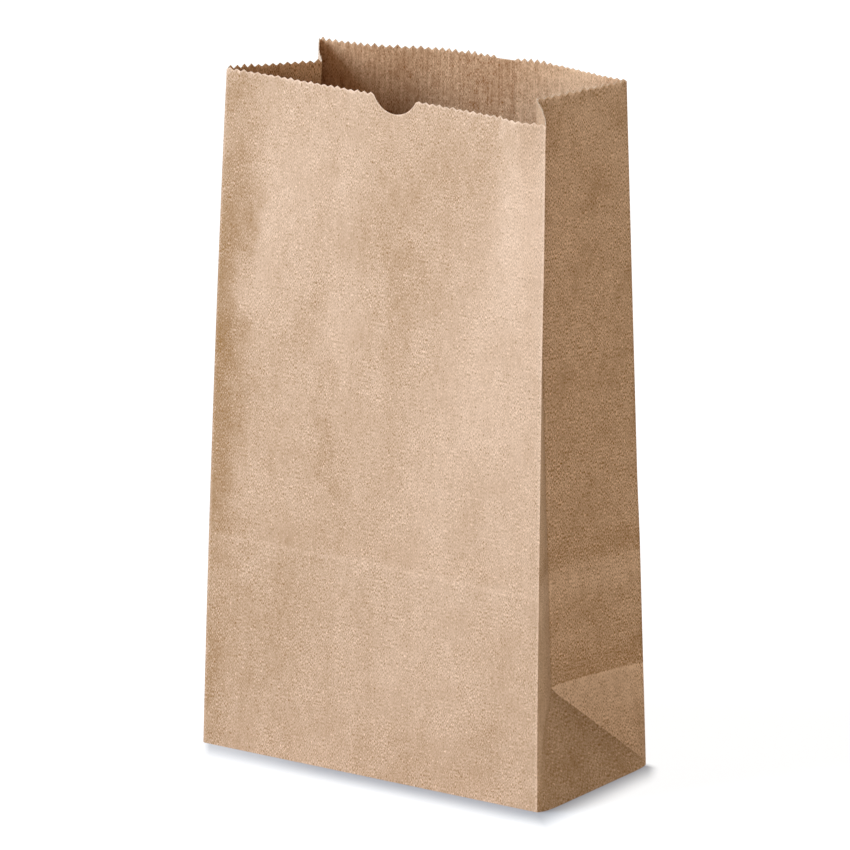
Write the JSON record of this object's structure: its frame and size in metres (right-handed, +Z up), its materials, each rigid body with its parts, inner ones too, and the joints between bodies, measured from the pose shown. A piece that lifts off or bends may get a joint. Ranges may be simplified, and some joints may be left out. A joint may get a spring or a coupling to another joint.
{
  "type": "paper lunch bag",
  "caption": "Standing open lunch bag folded from a sheet of brown kraft paper: side gussets, flat block bottom with folded flaps, saw-tooth mouth with a thumb notch.",
  "frame": {"origin": "on the surface the bag stands on, at the middle of its bounding box", "axes": "+Z up to the mouth; -Y towards the front panel, the one with the thumb notch; +X to the right as seen from the front"},
  "size_m": [0.1562, 0.081, 0.2735],
  "materials": {
    "kraft_paper": "uncoated brown kraft paper, matte, with fine fibres along its length"
  },
  "bodies": {
    "root": {"paper_bag": "kraft_paper"}
  },
  "joints": []
}
